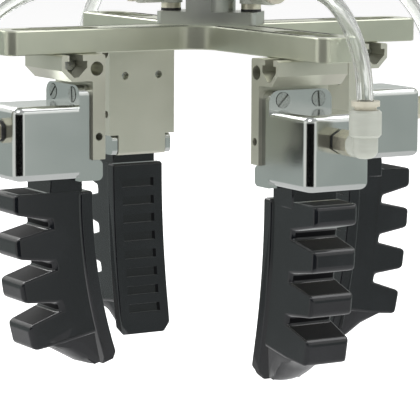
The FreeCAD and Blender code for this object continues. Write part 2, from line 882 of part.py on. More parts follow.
def bent(depth, run):
    """A point of the curled finger: depth from the grip face, run down along that face."""
    turn = run / S.finger_curve * (180 / math.pi)
    radius = S.finger_curve + depth
    x = S.finger_face_offset - S.finger_curve + radius * cosine(turn)
    return x, -(S.finger_start + radius * sine(turn))


def make_finger(unit, angle):
    """The moulded finger: grip layer with pad pockets, four bellows and hollow air chambers."""
    body = new_body(f"finger_{unit}")
    pivot = (S.pivot_offset, -S.pivot_drop)
    bead = new_sketch(body, "XZ_Plane")
    draw_circle(bead, *pivot, S.bead_radius * 2)
    pad(body, bead, S.bead_width, "Symmetric")
    half = S.bead_radius
    neck = new_sketch(body, "XZ_Plane")
    low = -(S.finger_start + 2)
    draw_box(neck, pivot[0] - half, pivot[1], pivot[0] + half, low)
    pad(body, neck, S.bead_width, "Symmetric")
    grip = new_sketch(body, "XZ_Plane")
    draw_polygon(grip, grip_outline())
    pad(body, grip, S.finger_width, "Symmetric")
    bellows = new_sketch(body, "XZ_Plane")
    draw_polygon(bellows, bellows_outline())
    pad(body, bellows, S.bellows_width, "Symmetric")
    tips = [bent(S.ridge_reach, ridge_centre(k) + S.ridge_tip_half * end)
            for k in range(4) for end in (-1, 1)]
    fillet(
        body,
        S.ridge_round,
        lambda p, d: along(d, 1) and any(near(p.x, x) and near(p.z, z) for x, z in tips),
    )
    pads = new_sketch(body, "XZ_Plane")
    for k in range(8):
        middle = S.pad_first + S.pad_pitch * k
        low, high = middle - S.pad_height / 2, middle + S.pad_height / 2
        draw_polygon(
            pads,
            [bent(-1, low), bent(S.pad_depth, low), bent(S.pad_depth, high), bent(-1, high)],
        )
    pocket(body, pads, S.pad_width, "Symmetric")
    chamber = new_sketch(body, "XZ_Plane")
    draw_polygon(chamber, chamber_outline())
    pocket(body, chamber, S.chamber_width, "Symmetric")
    inlet = new_sketch(body, "XY_Plane", -S.pivot_drop)
    draw_circle(inlet, S.pivot_offset, 0, S.duct_bore)
    pocket(body, inlet, S.bead_radius + 8, "Symmetric")
    seat_on_unit(body, angle)


def ridge_centre(index):
    return S.ridge_first + S.ridge_pitch * index


def grip_outline():
    """The grip layer down the inner face, and the fingertip that it ends in."""
    layer, tip = S.grip_layer, S.tip_length
    steps = 8
    runs = [(tip - S.tip_setback) * (k / steps) for k in range(steps + 1)]
    inner = [bent(0, run) for run in runs]
    heel = ridge_centre(3) + S.ridge_tip_half
    back = S.ridge_reach - S.heel_setback
    outer = [
        bent(layer * 0.55, tip),
        bent(layer * 1.4, tip - S.tip_bulge),
        bent(layer * 2.1, tip - S.knob_shoulder),
        bent(layer * 2.8, tip - S.knob_slope),
        bent(layer * 3.4, tip - S.knob_neck),
        bent(back, heel + S.heel_drop),
        bent(back, heel - S.heel_overlap),
        bent(layer, heel - S.heel_overlap),
    ]
    rest = [bent(layer, heel * (1 - k / steps)) for k in range(1, steps + 1)]
    return inner + outer + rest


def bellows_outline():
    """The four hollow ridges, from the grip layer out to their flat tips."""
    layer, root = S.grip_layer - 1, S.bellows_root
    top = ridge_centre(0) - S.ridge_root_half
    points = [bent(layer, 0), bent(root / 2, 0), bent(root / 2, top)]
    for k in range(4):
        middle = ridge_centre(k)
        points += [
            bent(root, middle - S.ridge_root_half),
            bent(S.ridge_reach, middle - S.ridge_tip_half),
            bent(S.ridge_reach, middle + S.ridge_tip_half),
            bent(root, middle + S.ridge_root_half),
        ]
    bottom = ridge_centre(3) + S.ridge_root_half
    points += [bent(layer, bottom), bent(layer, bottom / 2)]
    return points


def chamber_outline():
    """The air space: a spine with a pocket into each ridge, a wall inside the outer form."""
    wall, floor, spine = S.chamber_wall, S.chamber_floor, S.chamber_spine
    tip = S.ridge_reach - wall
    root_half = S.ridge_root_half - wall * 0.9
    tip_half = S.ridge_tip_half - wall * 0.5
    points = [bent(floor, ridge_centre(0) - root_half)]
    for k in range(4):
        middle = ridge_centre(k)
        points += [
            bent(spine, middle - root_half),
            bent(tip, middle - tip_half),
            bent(tip, middle + tip_half),
            bent(spine, middle + root_half),
        ]
    bottom = ridge_centre(3) + root_half
    points += [bent(floor, bottom), bent(floor, bottom / 2)]
    return points


def make_clamp_screws(unit, angle):
    """Two slotted screws, sunk in the housing's back plate, that hold it to the bracket."""
    screws = []
    seat = S.leg_thickness + S.plate_thickness - S.clamp_recess_depth
    for side_of, end, turn in ((1, "left", S.clamp_left_turn), (-1, "right", S.clamp_right_turn)):
        name = f"clamp_screw_{end}_{unit}"
        start = seat - S.clamp_screw_length
        shank = cylinder(f"{name}_shank", S.clamp_screw, S.clamp_screw_length, start, "X")
        head = cylinder(f"{name}_head", S.clamp_head, S.clamp_head_height, seat, "X")
        slot = doc.addObject("Part::Box", f"{name}_slot")
        bind(slot, "Length", S.clamp_head_height)
        bind(slot, "Width", S.clamp_slot)
        bind(slot, "Height", S.clamp_head * 2)
        bind(slot, "Placement.Base.x", seat + S.clamp_head_height * 0.6)
        bind(slot, "Placement.Base.y", -S.clamp_slot / 2)
        bind(slot, "Placement.Base.z", -S.clamp_head)
        screw = cut(name, fuse(f"{name}_solid", [shank, head]), [slot])
        screw.Placement.Rotation = Rotation(Vector(1, 0, 0), number(turn))
        bind(screw, "Placement.Base.y", S.clamp_spacing / 2 * side_of)
        bind(screw, "Placement.Base.z", -S.clamp_height)
        screws.append(screw)
    made = doc.addObject("Part::Compound", f"clamp_screws_{unit}_pair")
    made.Links = screws
    place(made, f"clamp_screws_{unit}", unit_frame(angle))


def make_slide_screw(unit, angle):
    """The cap screw that hangs the bracket from the arm's stepped slot."""
    name = f"slide_screw_{unit}"
    seat = S.arm_thickness - S.slot_counterbore_depth + S.slide_gap
    shank = cylinder(
        f"{name}_shank", S.slide_screw, S.slide_screw_length, seat - S.slide_screw_length
    )
    head = cylinder(f"{name}_head", S.slide_head, S.slide_head_height, seat)
    socket = doc.addObject("Part::Prism", f"{name}_socket")
    bind(socket, "Circumradius", S.slide_screw * 0.4)
    bind(socket, "Height", S.slide_head_height)
    bind(socket, "Placement.Base.z", seat + S.slide_head_height * 0.4)
    screw = cut(f"{name}_solid", fuse(f"{name}_blank", [shank, head]), [socket])
    frame = unit_frame(angle)
    centre = Vector(number(S.tslot_centre), 0, 0)
    place(screw, name, FreeCAD.Placement(frame.multVec(centre), frame.Rotation))


def make_slide_nut(unit, angle):
    """The T-nut in the bracket's slot."""
    body = new_body(f"slide_nut_{unit}")
    gap = S.tnut_clearance
    wide, centre = S.tslot_width / 2 - gap, S.tslot_centre
    top, bottom = -S.tslot_lip, -(S.tslot_lip + S.tnut_height)
    side = -(S.tslot_lip + S.tslot_side - gap)
    slope = (S.tslot_width - S.tslot_floor) / 2
    fall = S.tslot_depth - S.tslot_lip - S.tslot_side
    foot = wide - (side - bottom) * slope / fall
    profile = new_sketch(body, "XZ_Plane")
    draw_polygon(
        profile,
        [
            (centre - wide, top),
            (centre - wide, side),
            (centre - foot, bottom),
            (centre + foot, bottom),
            (centre + wide, side),
            (centre + wide, top),
        ],
    )
    pad(body, profile, S.tnut_length, "Symmetric")
    hole = new_sketch(body, "XY_Plane")
    draw_circle(hole, centre, 0, S.slide_screw + S.thread_clearance * 2)
    pocket(body, hole)
    seat_on_unit(body, angle)


def make_unit_fitting(unit, angle):
    """Seal, stud, elbow and release ring on the housing's outer face; returns the hose's axis."""
    frame = unit_frame(angle)
    out = frame.Rotation.multVec(Vector(1, 0, 0))
    up = Vector(0, 0, 1)
    seat = Vector(number(S.leg_thickness + S.housing_depth), 0, -number(S.port_height))
    port = frame_at(frame.multVec(seat), out, up)
    make_seal(f"seal_{unit}", port)
    make_stud(f"stud_{unit}", port, S.unit_hex_height)
    neck = S.seal_thickness + S.unit_hex_height
    start, end = S.unit_barrel_start, S.unit_barrel_end
    make_elbow(f"elbow_{unit}", port, S.unit_elbow_reach, start, end, neck)
    mouth = port.multVec(Vector(number(end), 0, number(S.unit_elbow_reach)))
    make_release_ring(f"release_ring_{unit}", frame_at(mouth, up, out))
    return mouth


def make_hub_fitting(unit, angle):
    """The hub's fitting for one unit: a low elbow or a high straight; returns its mouth."""
    out = Rotation(Vector(0, 0, 1), angle).multVec(Vector(1, 0, 0))
    up = Vector(0, 0, 1)
    foot = -number(S.hub_height)
    name = f"hub_{unit}"
    if unit in ("a", "b"):
        offset = number(S.low_port_offset)
        side = -offset if unit == "a" else offset
        seat = Vector(side, -side, foot + number(S.hub_base_thickness))
        port = frame_at(seat, up, out)
        make_stud(f"{name}_stud", port)
        neck = S.seal_thickness + S.hub_collar_height
        start, end = S.hub_barrel_start, S.hub_barrel_end
        make_elbow(f"{name}_elbow", port, S.hub_elbow_reach, start, end, neck)
        mouth = port.multVec(Vector(number(end), 0, number(S.hub_elbow_reach)))
    else:
        reach = number(S.hub_column_diameter / 2 - S.hub_spotface_depth)
        seat = out * reach + Vector(0, 0, foot + number(S.high_port_height))
        port = frame_at(seat, out, up)
        make_stud(f"{name}_stud", port, S.stud_hex_height)
        neck = S.seal_thickness + S.stud_hex_height
        make_straight(f"{name}_straight", port, neck)
        mouth = seat + out * number(neck + S.straight_body_length)
    make_release_ring(f"{name}_release_ring", frame_at(mouth, out, up))
    return mouth, port


def make_hub_seals(ports):
    """The sealing rings under the hub's four fittings, as one group."""
    seals = [make_seal(f"hub_seal_{index}", port) for index, port in enumerate(ports)]
    made = doc.addObject("Part::Compound", "hub_seals_group")
    made.Links = seals
    made.Label = "hub_seals"


# Hoses: each route is a hand-chosen list of (distance from the hub's axis, height above the
# arms, sideways offset towards the low port), from the hub's fitting to the unit's elbow.
HOSE_ROUTES = {
    "low": [
        (21.4, 13.6, 11.2), (36.4, 13.6, 11.2), (51.5, 15.4, 9.5), (65.7, 14.9, 6.8),
        (79.5, 12.1, 4.0), (91.6, 6.0, 1.7), (100.8, -3.2, 0.4), (106.0, -15.7, 0.0),
        (106.0, -29.1, 0.0),
    ],
    "high": [
        (22.6, 28.0, 0.0), (36.2, 28.0, 0.0), (50.2, 27.0, 0.0), (65.0, 24.0, 0.0),
        (79.2, 18.0, 0.0), (91.6, 8.6, 0.0), (101.0, -3.2, 0.0), (106.0, -15.7, 0.0),
        (106.0, -29.1, 0.0),
    ],
}


def hose_points(unit, angle):
    """The route's points in the gripper's frame."""
    out = Rotation(Vector(0, 0, 1), angle).multVec(Vector(1, 0, 0))
    side = Vector(0, 1, 0) if unit == "a" else Vector(1, 0, 0)
    route = HOSE_ROUTES["low" if unit in ("a", "b") else "high"]
    top = -number(S.hub_height)
    return [out * r + side * t + Vector(0, 0, top + z) for r, z, t in route]


def hose_path(points):
    """Straight runs joined by tangent arcs: (the wire, the arcs' radii)."""
    edges, radii, start = [], [], points[0]
    for before, corner, after in zip(points, points[1:], points[2:]):
        back, ahead = before - corner, after - corner
        turn = math.pi - back.getAngle(ahead)
        trim = 0.45 * min(back.Length, ahead.Length)
        radii.append(trim / math.tan(turn / 2))
        first = corner + back.normalize() * trim
        last = corner + ahead.normalize() * trim
        towards = (first + last) / 2 - corner
        centre_gap = math.hypot(radii[-1], trim) - radii[-1]
        middle = corner + towards.normalize() * centre_gap
        edges.append(Part.LineSegment(start, first).toShape())
        edges.append(Part.Arc(first, middle, last).toShape())
        start = last
    edges.append(Part.LineSegment(start, points[-1]).toShape())
    return Part.Wire(edges), radii


def make_hose(unit, angle):
    """The hose from the hub to one finger unit, as a plain rod of its outer diameter."""
    points = hose_points(unit, angle)
    wire, radii = hose_path(points)
    radius = number(S.hose_diameter) / 2
    ring = Part.Wire(Part.Circle(points[0], points[1] - points[0], radius).toShape())
    rod = wire.makePipeShell([ring], True, False)
    made = doc.addObject("Part::Feature", f"hose_{unit}")
    made.Shape = rod
    made.Label = f"hose_{unit}"
    expected = math.pi * radius**2 * wire.Length
    if abs(rod.Volume / expected - 1) > 0.01:
        raise RuntimeError(f"hose_{unit} has {rod.Volume:.0f} mm3, not {expected:.0f}")
    shown = " ".join(f"{r:.0f}" for r in radii)
    print(f"hose_{unit}: {wire.Length:.1f} mm, arc radii {shown} mm")


def make_all():
    make_sheet()
    make_cross_plate()
    make_hub()
    make_hub_screws()
    ports = []
    for unit in sorted(ARMS):
        angle = arm_angle(unit)
        make_bracket(unit, angle)
        make_housing(unit, angle)
        make_finger(unit, angle)
        make_clamp_screws(unit, angle)
        make_slide_screw(unit, angle)
        make_slide_nut(unit, angle)
        make_unit_fitting(unit, angle)
        ports.append(make_hub_fitting(unit, angle)[1])
        make_hose(unit, angle)
    make_hub_seals(ports)
    doc.recompute()


NODES = ["cross_plate", "hub", "hub_screws", "hub_seals"]
for letter in sorted(ARMS):
    low = letter in ("a", "b")
    NODES += [f"hub_{letter}_stud", f"hub_{letter}_release_ring"]
    NODES.append(f"hub_{letter}_elbow" if low else f"hub_{letter}_straight")
    NODES += [
        f"{piece}_{letter}"
        for piece in (
            "bracket", "housing", "finger", "clamp_screws", "slide_screw", "slide_nut",
            "seal", "stud", "elbow", "release_ring", "hose",
        )
    ]


def export():
    """Checks every object and writes each sub-part's shape to its own STEP file."""
    for item in doc.Objects:
        if "Invalid" in item.State or "Error" in item.State:
            raise RuntimeError(f"{item.Name} failed: {item.State}")
    os.makedirs("parts", exist_ok=True)
    by_label = {item.Label: item for item in doc.Objects}
    for node in NODES:
        shape = by_label[node].Shape
        if shape.isNull() or not shape.isValid() or not shape.Solids:
            raise RuntimeError(f"{node} has no valid solid")
        shape.exportStep(f"parts/{node}.step")


make_all()
export()
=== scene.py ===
# %% [markdown]
# # A soft finger gripper
#
# Four hollow rubber fingers hang under a plus-shaped aluminium plate. This notebook dresses the
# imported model: it keeps every metal and plastic solid where it is, and adds the finishes, the
# clear hoses, the engraved scales and the moulded fingers.

import bpy
import bmesh
import math
from mathutils import Matrix, Vector


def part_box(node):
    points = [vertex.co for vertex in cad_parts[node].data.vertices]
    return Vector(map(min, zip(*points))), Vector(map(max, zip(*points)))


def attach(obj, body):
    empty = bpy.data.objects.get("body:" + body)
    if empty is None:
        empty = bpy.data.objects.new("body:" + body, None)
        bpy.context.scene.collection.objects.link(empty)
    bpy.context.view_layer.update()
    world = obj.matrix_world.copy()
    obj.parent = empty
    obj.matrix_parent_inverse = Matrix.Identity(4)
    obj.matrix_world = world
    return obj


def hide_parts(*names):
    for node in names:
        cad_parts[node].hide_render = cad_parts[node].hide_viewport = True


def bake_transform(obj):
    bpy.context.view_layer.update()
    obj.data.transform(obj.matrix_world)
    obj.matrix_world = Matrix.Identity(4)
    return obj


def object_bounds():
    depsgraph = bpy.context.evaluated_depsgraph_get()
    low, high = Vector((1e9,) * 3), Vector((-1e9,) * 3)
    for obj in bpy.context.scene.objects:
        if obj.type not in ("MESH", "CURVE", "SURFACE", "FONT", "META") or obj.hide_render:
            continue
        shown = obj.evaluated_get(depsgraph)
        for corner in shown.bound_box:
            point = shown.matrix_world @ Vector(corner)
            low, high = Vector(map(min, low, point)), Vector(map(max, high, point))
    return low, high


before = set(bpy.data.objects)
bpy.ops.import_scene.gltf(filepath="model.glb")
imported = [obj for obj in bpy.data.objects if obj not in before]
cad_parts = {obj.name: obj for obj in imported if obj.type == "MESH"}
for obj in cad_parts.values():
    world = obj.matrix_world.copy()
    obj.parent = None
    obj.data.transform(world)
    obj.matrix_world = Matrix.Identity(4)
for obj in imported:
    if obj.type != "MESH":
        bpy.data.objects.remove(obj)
scene = bpy.context.scene
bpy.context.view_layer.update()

# %% [markdown]
# ## Where things are
#
# The arms lie along the axes, and each finger unit has a letter. Heights are counted from the
# top face of the plate, which is read from the solids.

# %% Places
UNITS = {"a": 180, "b": 270, "c": 0, "d": 90}
plate_low, plate_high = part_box("cross_plate")
PLATE_TOP = plate_high.z
print("plate top", round(PLATE_TOP, 4), "arm length", round(plate_high.x, 4))
print("plate thickness", round(plate_high.z - plate_low.z, 4))


def outward(unit):
    """The direction of the unit's arm."""
    turn = math.radians(UNITS[unit])
    return Vector((round(math.cos(turn)), round(math.sin(turn)), 0))


# %% [markdown]
# ## Shader maths as plain Python
#
# A material is a sum of small decisions: where it is worn, how the grain runs, how bright an
# edge is. The class below wraps a node's output socket, so that those decisions read as
# arithmetic and each operator adds the Math node that does it.

# %% Signals


class Signal:
    """A number that changes over a surface."""

    def __init__(self, shader, socket):
        self.shader = shader
        self.socket = socket

    def math(self, operation, *others):
        values = {i + 1: other for i, other in enumerate(others)}
        values[0] = self
        return self.shader.node("ShaderNodeMath", {"operation": operation}, values)

    def __add__(self, other):
        return self.math("ADD", other)

    def __mul__(self, other):
        return self.math("MULTIPLY", other)

    def __rsub__(self, other):
        return (self * -1.0) + other

    def between(self, low, high):
        """0 below low, 1 above high and smooth between them."""
        settings = {"interpolation_type": "SMOOTHSTEP"}
        return self.shader.node(
            "ShaderNodeMapRange", settings, {0: self, 1: low, 2: high, 3: 0.0, 4: 1.0}
        )


# %% [markdown]
# A shader collects the signals of one material. Each value may be a plain number or a signal,
# and `set` writes either of them to the surface.

# %% Shaders


class Shader:
    """A node material that is built by writing down its values."""

    def __init__(self, name):
        self.material = bpy.data.materials.new(name)
        self.material.use_nodes = True
        self.tree = self.material.node_tree
        self.surface = self.tree.nodes["Principled BSDF"]

    def link(self, value, socket):
        if isinstance(value, Signal):
            self.tree.links.new(value.socket, socket)
        else:
            socket.default_value = value

    def node(self, kind, settings=None, values=None, output=0):
        made = self.tree.nodes.new(kind)
        for key, value in (settings or {}).items():
            setattr(made, key, value)
        for key, value in (values or {}).items():
            self.link(value, made.inputs[key])
        return Signal(self, made.outputs[output])

    def place(self):
        """The point on the object that is being shaded, in metres."""
        return self.node("ShaderNodeTexCoord", output="Object")

    def mapped(self, **changes):
        """The place, scaled or turned."""
        return self.node("ShaderNodeMapping", None, {"Vector": self.place(), **changes})

    def noise(self, scale, detail=3.0, roughness=0.5, vector=None):
        values = {
            "Vector": vector or self.place(),
            "Scale": scale,
            "Detail": detail,
            "Roughness": roughness,
        }
        return self.node("ShaderNodeTexNoise", None, values)

    def mix(self, amount, low, high):
        """The colour low where amount is 0, and high where it is 1."""
        settings = {"data_type": "RGBA"}
        values = {0: amount}
        for key, colour in ((6, low), (7, high)):
            values[key] = colour if isinstance(colour, Signal) else (*colour, 1.0)
        return self.node("ShaderNodeMix", settings, values, output=2)

    def bump(self, height, distance, strength=1.0):
        values = {"Height": height, "Distance": distance, "Strength": strength}
        return self.node("ShaderNodeBump", None, values)

    def set(self, **values):
        """Sets the surface's sockets by name, with _ for a space."""
        for key, value in values.items():
            self.link(value, self.surface.inputs[key.replace("_", " ")])
        return self.material


# %% [markdown]
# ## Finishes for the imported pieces
#
# The metal and plastic pieces keep their own meshes and only get a material. Most kinds of
# piece come four times, once for each finger unit, so their names are made from the letters.

# %% Dressing
def dress(nodes, material):
    """Gives CAD nodes their finish."""
    for name in nodes:
        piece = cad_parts[name]
        piece.data.materials.clear()
        piece.data.materials.append(material)
    print(f"{material.name}: {len(nodes)} pieces")


def each(pattern):
    """The names of the four nodes of one kind: {} stands for the unit's letter."""
    return [pattern.format(unit) for unit in UNITS]


# %% [markdown]
# ## Bead-blasted aluminium
#
# The plate, hub and brackets are blasted with fine glass beads and then anodised in a pale
# champagne grey. Blasting leaves a field of tiny dimples, so reflections blur into a soft
# sheen. A fine noise drives the bump, and a much larger one drifts the colour and roughness a
# little, as anodising does.

# %% Aluminium finishes
def blasted(name, light, dark, roughness, metallic=0.85):
    shader = Shader(name)
    drift = shader.noise(38.0, detail=4.0).between(0.35, 0.65)
    grain = shader.noise(5200.0, detail=2.0, roughness=0.6)
    return shader.set(
        Base_Color=shader.mix(drift, dark, light),
        Metallic=metallic,
        Roughness=drift * 0.05 + grain * 0.08 + (roughness - 0.06),
        Normal=shader.bump(grain, 0.00002, 0.35),
    )


PLATE = blasted("blasted_plate", (0.58, 0.60, 0.49), (0.53, 0.55, 0.45), 0.33)
HUB = blasted("blasted_hub", (0.52, 0.54, 0.50), (0.46, 0.48, 0.44), 0.36)
BRACKET = blasted("blasted_bracket", (0.63, 0.63, 0.54), (0.59, 0.59, 0.50), 0.38)
dress(["cross_plate"], PLATE)
dress(["hub"], HUB)
dress(each("bracket_{}"), BRACKET)

# %% [markdown]
# ## Satin chrome
#
# The finger housings are castings under a satin chrome plate: smoother than the blasted parts,
# cool grey-green, with bright rounded edges. The chrome follows a very slight waviness of the
# casting, which bends its reflections.

# %% Housing finish
shader = Shader("satin_chrome")
wave = shader.noise(60.0, detail=1.0)
grain = shader.noise(3200.0, detail=2.0)
HOUSING = shader.set(
    Base_Color=shader.mix(wave.between(0.3, 0.7), (0.60, 0.625, 0.61), (0.65, 0.67, 0.655)),
    Metallic=1.0,
    Roughness=grain * 0.05 + 0.14,
    Normal=shader.bump(wave + grain * 0.02, 0.00018, 0.5),
)
dress(each("housing_{}"), HOUSING)

# %% [markdown]
# ## Plated steel, nickel and plastics
#
# Fasteners are zinc plated, the fitting studs are nickel on brass, and the fitting bodies are
# glass-filled plastic whose flow leaves faint streaks.

# %% Small finishes
STREAK = (120.0, 120.0, 700.0)


def plated(name, colour, roughness):
    shader = Shader(name)
    mottle = shader.noise(900.0, detail=3.0)
    dull = tuple(c * 0.86 for c in colour)
    return shader.set(
        Base_Color=shader.mix(mottle.between(0.3, 0.7), dull, colour),
        Metallic=1.0,
        Roughness=mottle * 0.1 + (roughness - 0.05),
    )


def moulded(name, light, dark, roughness, **others):
    shader = Shader(name)
    flow = shader.noise(1.0, detail=3.0, vector=shader.mapped(Scale=STREAK))
    grain = shader.noise(4200.0, detail=2.0)
    return shader.set(
        Base_Color=shader.mix(flow.between(0.35, 0.7), dark, light),
        Roughness=grain * 0.12 + (roughness - 0.06),
        Normal=shader.bump(grain, 0.00002, 0.3),
        **others,
    )


STEEL = plated("zinc_steel", (0.50, 0.52, 0.50), 0.28)
NICKEL = plated("nickel", (0.86, 0.83, 0.68), 0.42)
FITTING = moulded("fitting_plastic", (0.50, 0.52, 0.46), (0.475, 0.495, 0.435), 0.34)
RING = moulded("ring_plastic", (0.66, 0.63, 0.52), (0.60, 0.57, 0.46), 0.34)
SEAL = moulded("seal_rubber", (0.03, 0.03, 0.03), (0.02, 0.02, 0.02), 0.5)
dress(["hub_screws"] + each("clamp_screws_{}"), STEEL)
dress(each("slide_screw_{}") + each("slide_nut_{}"), STEEL)
dress(each("stud_{}") + each("hub_{}_stud"), NICKEL)
dress(each("elbow_{}") + ["hub_a_elbow", "hub_b_elbow"], FITTING)
dress(["hub_c_straight", "hub_d_straight"], FITTING)
dress(each("release_ring_{}") + each("hub_{}_release_ring"), RING)
dress(["hub_seals"] + each("seal_{}"), SEAL)

# %% [markdown]
# ## Black elastomer
#
# The fingers are moulded in a polished tool, so the rubber is almost smooth. Its black leans to
# blue. A second, darker and duller rubber is painted shade in the valleys and on the pockets'
# walls.

# %% Finger finish
shader = Shader("finger_rubber")
bloom = shader.noise(55.0, detail=4.0).between(0.4, 0.75)
grain = shader.noise(2600.0, detail=3.0)
RUBBER = shader.set(
    Base_Color=shader.mix(bloom, (0.006, 0.007, 0.009), (0.009, 0.0105, 0.013)),
    Roughness=bloom * 0.05 + grain * 0.06 + 0.12,
    Normal=shader.bump(grain, 0.00003, 0.25),
    Specular_IOR_Level=0.55,
)
# Painted shade: a near-black, dull rubber that darkens the fins' valleys and upper walls and the
# pockets' walls.
shader = Shader("painted_shade_rubber")
grain = shader.noise(1400.0, detail=2.0)
PAINTED_SHADE_RUBBER = shader.set(
    Base_Color=shader.mix(grain, (0.002, 0.002, 0.003), (0.004, 0.004, 0.005)),
    Roughness=grain * 0.1 + 0.5,
    Specular_IOR_Level=0.08,
)

# %% [markdown]
# ## The fingers
#
# A finger is one hollow casting. Its grip strip has eight shallow pockets, its back is folded
# into four fins that spread when air enters, and it ends in a rounded toe. The whole finger is
# curled, so every point is written in millimetres as a depth behind the grip face and a run
# down it, and one function bends them on to the curl.
#
# Soft fingers never hang quite alike, so each unit has a curl of its own: the radius of its grip
# face. Runs are laid out at the fins' tips, and STRETCH turns a run into a length along them.

# %% The curl
UNIT_RADIUS = 54.2  # from the hub's axis to the unit's origin
FACE_OFFSET = 3.3  # from that origin out to the grip face
FINGER_TOP = 60.0  # from the plate's top face down to run 0
FIN_REACH = 31.4  # from the grip face to the fins' tips
STRETCH = 1.157
CURL = {"a": 200.0, "b": 260.0, "c": 250.0, "d": 320.0}


def on_finger(unit, depth, run, across):
    """The place of a point of the finger, from its depth, run and distance off the middle."""
    curl = CURL[unit]
    turn = run * STRETCH / (1 + FIN_REACH / curl) / curl
    reach = UNIT_RADIUS + FACE_OFFSET - curl + (curl + depth) * math.cos(turn)
    drop = FINGER_TOP + (curl + depth) * math.sin(turn)
    sideways = Vector((0, 0, 1)).cross(outward(unit))
    millimetres = outward(unit) * reach + sideways * across - Vector((0, 0, drop))
    return millimetres / 1000 + Vector((0, 0, PLATE_TOP))


# %% [markdown]
# A boat's hull is a skin over ribs, and each form of the finger is made the same way. A rib is
# an outline of depths and runs, each with the half width of the form there. The ribs stand side
# by side, each at its share of the half width, from -1 at one flank to 1 at the other. Some
# edges are then given a weight, and the Bevel modifier rounds each edge by its own weight.

# %% A skin over ribs
FULL_ROUND = 0.0022  # the rounding of an edge of weight 1, in metres


def hull(made, unit, ribs, along, flank):
    """Adds a closed skin over ribs of (share, outline). The weights: along for the edges that
    run from rib to rib, and flank for those on the two outer ribs. Returns its faces."""
    weight = made.edges.layers.float.get("bevel_weight_edge")
    rings = [
        [made.verts.new(on_finger(unit, depth, run, half * share)) for depth, run, half in rib]
        for share, rib in ribs
    ]
    count = len(rings[0])
    strips = []
    for ring, after in zip(rings, rings[1:]):
        faces = []
        for i in range(count):
            n = (i + 1) % count
            faces.append(made.faces.new((ring[i], ring[n], after[n], after[i])))
            made.edges.get((ring[i], after[i]))[weight] = along[i]
        strips.append(faces)
    for ring in (rings[0], rings[-1]):
        made.faces.new(ring)
        for i in range(count):
            made.edges.get((ring[i], ring[(i + 1) % count]))[weight] = flank[i]
    return strips


# %% [markdown]
# The fins come first. Each fin is a wedge that is thinner and narrower at its tip, so the
# valley between two fins is a V. The outline has five points for every fin: root, two tips,
# root and the valley's floor. The first fin starts level, and the last one is thicker, because
# the toe hangs on it.

# %% A rib of the fins
FIN_HALF = 10.0
TIP_HALF = 9.1
SPINE = 4.6
FLANK_FLOOR = 17.0
MIDDLE_FLOOR = 18.2
FIN_STARTS = [0.0, 14.4, 28.9, 43.5]
FIN_TIPS = [6.6, 6.6, 6.6, 8.2]
FIN_RISES = [0.0, 2.0, 2.0, 2.0]
FIN_FALLS = [2.8, 2.8, 2.8, 1.2]


def fin_rib(share):
    """One rib of the finger's back: its outline, and the weights along and on the flanks."""
    floor = FLANK_FLOOR if abs(share) == 1 else MIDDLE_FLOOR
    points = [(SPINE, 0.0, FIN_HALF, 0.0, 0.0)]
    for start, tip, rise, fall in zip(FIN_STARTS, FIN_TIPS, FIN_RISES, FIN_FALLS):
        end = start + tip
        points += [
            (floor, start - rise, FIN_HALF, 0.35, 0.36),
            (FIN_REACH, start, TIP_HALF, 1.0, 0.8),
            (FIN_REACH, end, TIP_HALF, 1.0, 0.5),
            (floor + 0.4, end + fall, FIN_HALF, 0.35, 0.65),
            (floor, end + 4.2, FIN_HALF, 0.0, 0.65),
        ]
    points[-1] = (SPINE, 53.5, FIN_HALF, 0.0, 0.0)
    outline = [point[:3] for point in points]
    return outline, [point[3] for point in points], [point[4] for point in points]


# %% [markdown]
# Of the five faces of a fin, the tip and the lower wall keep the glossy rubber. The upper wall
# and the two faces of the valley's floor get painted shade, the darker rubber. The painted shade
# ends at the last fin's upper wall.

# %% The fins
FIN_SHARES = (-1, -0.76, 0.76, 1)
FACES_PER_FIN = 5
UNSHADED_FACES = (2, 3)
SHADE_PAINT_END = 17


def add_fins(made, unit):
    _, along, flank = fin_rib(1)
    ribs = [(share, fin_rib(share)[0]) for share in FIN_SHARES]
    for strip in hull(made, unit, ribs, along, flank):
        # Painted shade: every face of a fin except its tip and lower wall gets the darker
        # rubber, up to the last fin's upper wall.
        for i, face in enumerate(strip[:SHADE_PAINT_END]):
            face.material_index = int(i % FACES_PER_FIN not in UNSHADED_FACES)


# %% [markdown]
# The toe hangs below the last fin. It swells in the middle and narrows towards its end, so its
# ribs differ more from each other than those of the fins.

# %% The toe
TOE_SHARES = (-1, -0.92, -0.75, -0.4, 0, 0.4, 0.75, 0.92, 1)
TOE_WEIGHTS = [0, 0, 0, 0.9, 0.9, 0.9, 0.4, 0]


def toe_rib(share):
    """One rib of the toe, which swells by a circle's arc across the finger."""
    swell = math.sqrt(1 - share * share)
    return [
        (SPINE, 46.0, 9.8),
        (20.0, 46.0, 9.6),
        (28.9, 50.4, 9.1),
        (21.5 + swell * 1.0, 52.6 + swell * 1.0, 9.6),
        (14.0 + swell * 3.4, 54.8 + swell * 3.6, 9.1),
        (9.9 + swell * 2.9, 60.0 + swell * 2.9, 8.1),
        (6.6 + swell * 1.4, 65.2 + swell * 0.9, 6.6),
        (SPINE, 66.1, 6.0),
    ]


def add_toe(made, unit):
    ribs = [(share, toe_rib(share)) for share in TOE_SHARES]
    hull(made, unit, ribs, [0] * len(TOE_WEIGHTS), TOE_WEIGHTS)


# %% [markdown]
# The grip strip is wider than the fins. Its skin has a row of faces for each pocket, and those
# faces are pushed in to make the pocket's floor and walls.

# %% The grip strip and its pockets
STRIP_HALF = 11.5
STRIP_DEPTH = 5.3
STRIP_CORNER = 63.0  # below this run the strip narrows
STRIP_END = 66.2
END_HALF = 8.6
POCKETS = [7.7 + 6.95 * k for k in range(8)]
POCKET_HALF = 7.2
POCKET_HEIGHT = 3.3
POCKET_DEPTH = 1.8
POCKET_DRAFT = 0.06  # the share by which a pocket narrows to its floor


